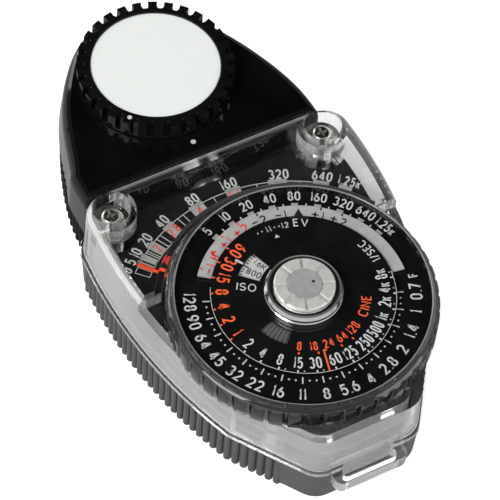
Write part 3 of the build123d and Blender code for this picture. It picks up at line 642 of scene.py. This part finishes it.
def print_film_dial():
    p = Print(top_of("film_speed_disc") + INK_LIFT)
    for word, angle, ink in [("-1", 136.6, "red"), ("H", 127.4, "red"), ("+1", 115.6, "red"),
                             ("+2", 102.8, "red"), ("-2", 89.6, "black"), ("-1", 75.8, "black"),
                             ("+1", 53.6, "black"), ("+2", 41.0, "black")]:
        p.text(word, 18.3, angle, 1.9, ink=ink, wide=0.62, stroke=0.155, face_in=False, gap=0.24)
    p.poly([(19.75, 125.2), (18.75, 127.6), (18.75, 122.8)], "red")
    p.poly([(19.5, 64.9), (17.3, 68.6), (17.3, 61.2)], "black")
    for angle, ink in [(88.6, "black"), (76.4, "black"), (52.2, "black"), (40.0, "black"),
                       (101.0, "red"), (113.2, "red"), (137.6, "red")]:
        p.tick(19.45, 20.1, angle, 0.3, ink)
    p.text("11", 15.9, 86.6, 1.4, wide=0.55, face_in=False, gap=0.28)
    p.text("12", 15.9, 74.6, 1.4, wide=0.55, face_in=False, gap=0.22)
    for angle in (94.9, 91.6, 82.2, 78.9):
        p.dot(15.9, angle, 0.3)
    p.text("800", 10.3, 127.0, 1.35, ink="black", wide=0.62, stroke=0.14, along=True)
    p.text("1.6K", 10.3, 114.4, 1.2, ink="black", wide=0.62, stroke=0.14, along=True)
    p.tick(11.7, 12.9, 123.8, 0.28, "black")
    for angle in (133.2, 130.0, 127.0, 120.4, 117.2, 114.0):
        p.tick(12.15, 12.6, angle, 0.22, "black")
    p.band(12.0, 12.8, 110.4, 111.8, "black")
    return p.finish("film_dial_print", "film_dial")


def print_scale_plate():
    p = Print(top_of("scale_plate") + INK_LIFT)
    outer, inner = 33.2, 30.25
    marks = [("0", 133.9, None, None), ("5", 130.5, 128.9, 129.6), ("10", 126.6, 125.8, 128.2),
             ("20", 120.8, 119.9, 123.3), ("40", 112.0, 109.9, 114.1),
             ("80", 99.0, 96.8, 102.1), ("160", 85.6, 82.6, 88.0), ("320", 68.9, 66.4, 72.8),
             ("640", 54.7, 52.0, 57.4), ("1.25K", 45.6, 44.0, 48.6)]
    for word, angle, a0, a1 in marks:
        p.text(word, 34.95, angle, 2.3, ink="white", wide=0.43 if len(word) > 3 else 0.5,
               stroke=0.15, face_in=False, gap=0.12, small="K")
        if a0 is not None:
            p.band(inner - 0.1, outer + 0.55, a0, a1, "grey")
    p.ribbon([polar(outer, a) for a in range(134, 50, -2)], 0.16, "white")
    p.ribbon([polar(inner, a) for a in range(134, 102, -2)], 0.16, "white")
    for angle in (133.9, 131.4, 130.4, 125.0, 124.2, 118.6, 116.6, 107.6, 105.2):
        p.tick(inner, outer, angle, 0.16)
    for angle in (92.6, 76.8, 62.0):
        p.tick(outer - 1.35, outer, angle, 0.16)
    lifted = Print(top_of("scale_plate") + 0.03)
    for word, angle in [("2", 121.6), ("2.8", 112.0), ("4", 99.4), ("5.6", 85.3)]:
        lifted.text(word, 31.9, angle, 2.0, ink="red", wide=0.5, stroke=0.12, face_in=False,
                    gap=0.14)
    house = [(-17.0, 23.4), (-15.9, 23.9), (-14.7, 22.7), (-15.7, 20.9), (-17.2, 22.3)]
    lifted.face([Vector(point) for point in house], "red")
    p.finish("scale_plate_print", "meter_body")
    lifted.finish("scale_plate_red_print", "meter_body")


def print_dots():
    ring = Print(top_of("diffuser_ring") + INK_LIFT, x=-10.45, y=27.0, thick=0.04)
    ring.dot(0.0, 0.0, 0.95, sides=24)
    ring.finish("ring_index_dot", "diffuser")
    deck = Print(top_of("head_front_shell") + INK_LIFT, x=-0.5, y=18.9, thick=0.04)
    deck.dot(0.0, 0.0, 1.05, sides=24)
    deck.finish("deck_index_dot", "swivel_head")
    cap = Print(top_of("button_cap") + INK_LIFT, x=1.68, y=-25.45, thick=0.02)
    cap.dot(0.0, 0.0, 0.6, ink="black", sides=20)
    cap.finish("button_index_dot", "button_head")


print_outer_dial()
print_shutter_dial()
print_film_dial()
print_scale_plate()
print_dots()


# ------------------------------------------------------------- room and camera
DARK_OPENING = (0.27, 0.44, 0.856)
TENT_LIGHT, OPENING_LIGHT = 0.62, 0.012
OPENING_EDGE = (0.55, 0.86)     # cosines between which the tent darkens
FLOOR_LIGHT, FLOOR_SEEN = 0.05, 0.85
FLOOR_HALF, FLOOR_DROP = 4.0, 0.0002
LAMP_AIM = (0.0, 0.0, 0.015)
LAMPS = [                       # name, place, size, power
    ("key", (-0.62, -0.10, 0.62), (0.45, 0.45), 6.0),
    ("fill", (0.55, -0.55, 0.35), (0.5, 0.4), 2.0),
    ("back", (-0.35, 0.75, 0.30), (0.6, 0.3), 2.0),
]


def stage_floor():
    """Floor that shows pale to the camera and through clear plastic, but lights little."""
    f = Finish("floor_white")
    p = f.shader(Roughness=0.9)
    p.inputs["Emission Color"].default_value = (1.0, 1.0, 1.0, 1.0)
    glow = f.add("ShaderNodeMapRange")
    glow.inputs["To Min"].default_value = FLOOR_LIGHT
    glow.inputs["To Max"].default_value = FLOOR_SEEN
    path = f.add("ShaderNodeLightPath")
    seen = f.add("ShaderNodeMath", operation="MAXIMUM")
    f.link(path.outputs["Is Camera Ray"], seen.inputs[0])
    f.link(path.outputs["Is Transmission Ray"], seen.inputs[1])
    f.link(seen.outputs[0], glow.inputs["Value"])
    f.link(glow.outputs["Result"], p.inputs["Emission Strength"])
    f.link(f.mottle(f.noise(3.0), (0.47, 0.47, 0.47), (0.49, 0.49, 0.49)),
           p.inputs["Base Color"])
    f.link(p.outputs["BSDF"], f.out.inputs["Surface"])
    mesh = bmesh.new()
    bmesh.ops.create_grid(mesh, x_segments=8, y_segments=8, size=FLOOR_HALF)
    data = bpy.data.meshes.new("floor")
    mesh.to_mesh(data)
    mesh.free()
    floor = bpy.data.objects.new("floor", data)
    floor.location.z = -FLOOR_DROP
    data.materials.append(f.material)
    bpy.context.scene.collection.objects.link(floor)


def stage_world():
    """A white tent with a dark opening where flat glossy faces would mirror it."""
    world = bpy.data.worlds.new("studio")
    bpy.context.scene.world = world
    world.use_nodes = True
    tree = world.node_tree
    back = tree.nodes["Background"]
    place = tree.nodes.new("ShaderNodeTexCoord")
    facing = tree.nodes.new("ShaderNodeVectorMath")
    facing.operation = "DOT_PRODUCT"
    facing.inputs[1].default_value = DARK_OPENING
    ramp = tree.nodes.new("ShaderNodeValToRGB")
    marks = ramp.color_ramp.elements
    for mark, at, light in zip(marks, OPENING_EDGE, (TENT_LIGHT, OPENING_LIGHT)):
        mark.position = at
        mark.color = (light, light, light, 1.0)
    tree.links.new(place.outputs["Generated"], facing.inputs[0])
    tree.links.new(facing.outputs["Value"], ramp.inputs["Fac"])
    tree.links.new(ramp.outputs["Color"], back.inputs["Color"])
    back.inputs["Strength"].default_value = 1.0


def softbox(name, place, size, power):
    data = bpy.data.lights.new(name, "AREA")
    data.shape = "RECTANGLE"
    data.size, data.size_y = size
    data.energy = power
    lamp = bpy.data.objects.new(name, data)
    bpy.context.scene.collection.objects.link(lamp)
    lamp.location = place
    lamp.rotation_euler = (Vector(LAMP_AIM) - Vector(place)).to_track_quat("-Z", "Y").to_euler()


CAMERA_AZIMUTH, CAMERA_ELEVATION, CAMERA_ROLL = -31.828, 56.19, 5.2207
CAMERA_LENS, CAMERA_DISTANCE = 204.965, 0.56834
CAMERA_TARGET = Vector((0.004916, 0.003001, 0.0))


def place_camera():
    a, e = math.radians(CAMERA_AZIMUTH), math.radians(CAMERA_ELEVATION)
    roll = math.radians(CAMERA_ROLL)
    back = Vector((math.sin(a) * math.cos(e), -math.cos(a) * math.cos(e), math.sin(e)))
    level = Vector((math.cos(a), math.sin(a), 0.0))
    rise = back.cross(level)
    right = math.cos(roll) * level + math.sin(roll) * rise
    up = back.cross(right)
    data = bpy.data.cameras.new("camera")
    data.sensor_width = 36.0
    data.lens = CAMERA_LENS
    data.clip_start, data.clip_end = 0.01, 20.0
    camera = bpy.data.objects.new("camera", data)
    bpy.context.scene.collection.objects.link(camera)
    turn = Matrix((right, up, back)).transposed().to_4x4()
    turn.translation = CAMERA_TARGET + back * CAMERA_DISTANCE
    camera.matrix_world = turn
    bpy.context.scene.camera = camera


stage_floor()
stage_world()
for lamp_settings in LAMPS:
    softbox(*lamp_settings)
place_camera()
bpy.context.scene.view_settings.view_transform = "Standard"
